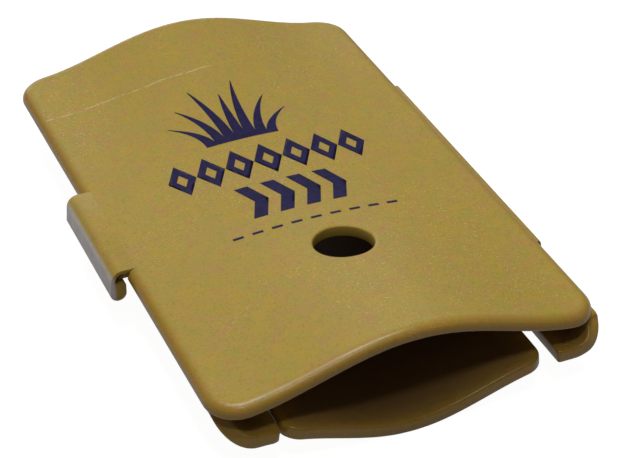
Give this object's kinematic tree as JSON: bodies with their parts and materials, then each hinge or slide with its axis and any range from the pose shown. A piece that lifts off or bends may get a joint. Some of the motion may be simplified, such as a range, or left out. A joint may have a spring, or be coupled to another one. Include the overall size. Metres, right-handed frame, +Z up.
{
  "type": "bite-and-blow band reed game call",
  "caption": "Pocket mouth-blown game call: moulded cover flared up at both ends and dished base on a film hinge, snap latch, and a band reed stretched over a freed tongue.",
  "frame": {"origin": "middle of the flat land on the underside of the dished base, which the call rests on", "axes": "+Y from the mouth end to the open rear end, +Z up from the base to the cover, +X towards the film hinge"},
  "size_m": [0.0404, 0.061, 0.0116],
  "materials": {
    "moulding": "satin moulded polypropylene, mustard tan",
    "latex": "natural latex, slightly translucent"
  },
  "bodies": {
    "lower_half": {"base_tray": "moulding", "film_hinge": "moulding"},
    "bite_tongue": {"tongue": "moulding", "reed_band": "latex"},
    "upper_half": {"cover": "moulding"},
    "latch": {"latch_arm": "moulding"}
  },
  "joints": [
    {"name": "cover_hinge", "type": "hinge", "parent": "lower_half", "child": "upper_half", "pos_m": [0.0193, 0, 0.00645], "axis": [0, 1, 0], "range_deg": [0, 175], "deforming": ["film_hinge", "latch_arm"]},
    {"name": "latch_flex", "type": "hinge", "parent": "upper_half", "child": "latch", "pos_m": [-0.0186, 0, 0.0077], "axis": [0, 1, 0], "range_deg": [0, 14], "stiffness_Nm_per_rad": 0.05},
    {"name": "tongue_flex", "type": "hinge", "parent": "lower_half", "child": "bite_tongue", "pos_m": [0, -0.01535, 0.0022], "axis": [-1, 0, 0], "range_deg": [0, 5], "stiffness_Nm_per_rad": 0.05}
  ]
}
